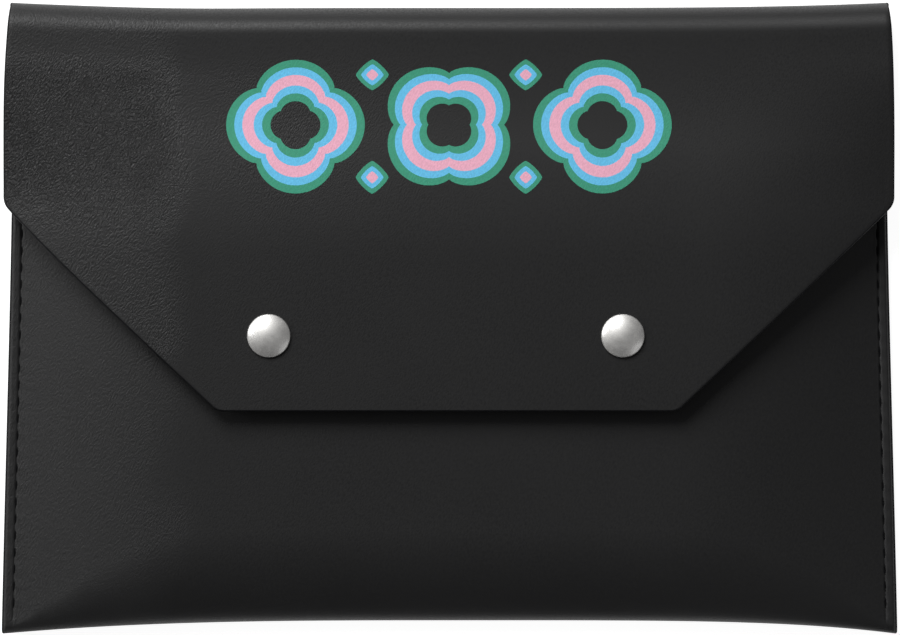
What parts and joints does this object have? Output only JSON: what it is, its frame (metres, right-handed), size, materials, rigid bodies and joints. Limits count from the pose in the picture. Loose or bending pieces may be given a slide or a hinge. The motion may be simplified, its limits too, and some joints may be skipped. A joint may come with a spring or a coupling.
{
  "type": "card holder pouch",
  "caption": "Flat leather envelope pouch for a folded game card, with a flap that rolls over the top and closes on press snaps.",
  "frame": {"origin": "middle of the pouch's outline, on the surface it lies on", "axes": "+X to the right along the bottom fold, +Y from the bottom fold up to the roll, +Z out of the front, through the flap"},
  "size_m": [0.24, 0.169, 0.0202],
  "materials": {
    "leather": "pebbled, satin",
    "lining": "fine flocked",
    "thread": "twisted polyester",
    "cap_metal": "satin nickel",
    "snap_metal": "nickel",
    "spring_wire": "drawn wire"
  },
  "bodies": {
    "pocket": {"pocket_shell": "leather", "pocket_lining": "lining", "left_seam_thread": "thread", "right_seam_thread": "thread", "left_stud": "snap_metal", "right_stud": "snap_metal", "left_stud_eyelet": "snap_metal", "right_stud_eyelet": "snap_metal"},
    "fold": {"fold_spine": "leather", "fold_lining": "lining"},
    "flap": {"flap_leather": "leather", "flap_lining": "lining", "left_cap": "cap_metal", "right_cap": "cap_metal", "left_cap_post": "snap_metal", "right_cap_post": "snap_metal", "left_socket": "snap_metal", "right_socket": "snap_metal", "left_snap_spring": "spring_wire", "right_snap_spring": "spring_wire"}
  },
  "joints": [
    {"name": "lower_crease", "type": "hinge", "parent": "pocket", "child": "fold", "pos_m": [0, 0.08246, 0.00204], "axis": [-1, 0, 0], "range_deg": [0, 88]},
    {"name": "upper_crease", "type": "hinge", "parent": "fold", "child": "flap", "pos_m": [0, 0.08246, 0.01186], "axis": [-1, 0, 0], "range_deg": [0, 88], "deforming": ["left_snap_spring", "right_snap_spring"]}
  ],
  "couplings": [
    {"joint": "upper_crease", "follows": "lower_crease", "ratio": 1}
  ]
}
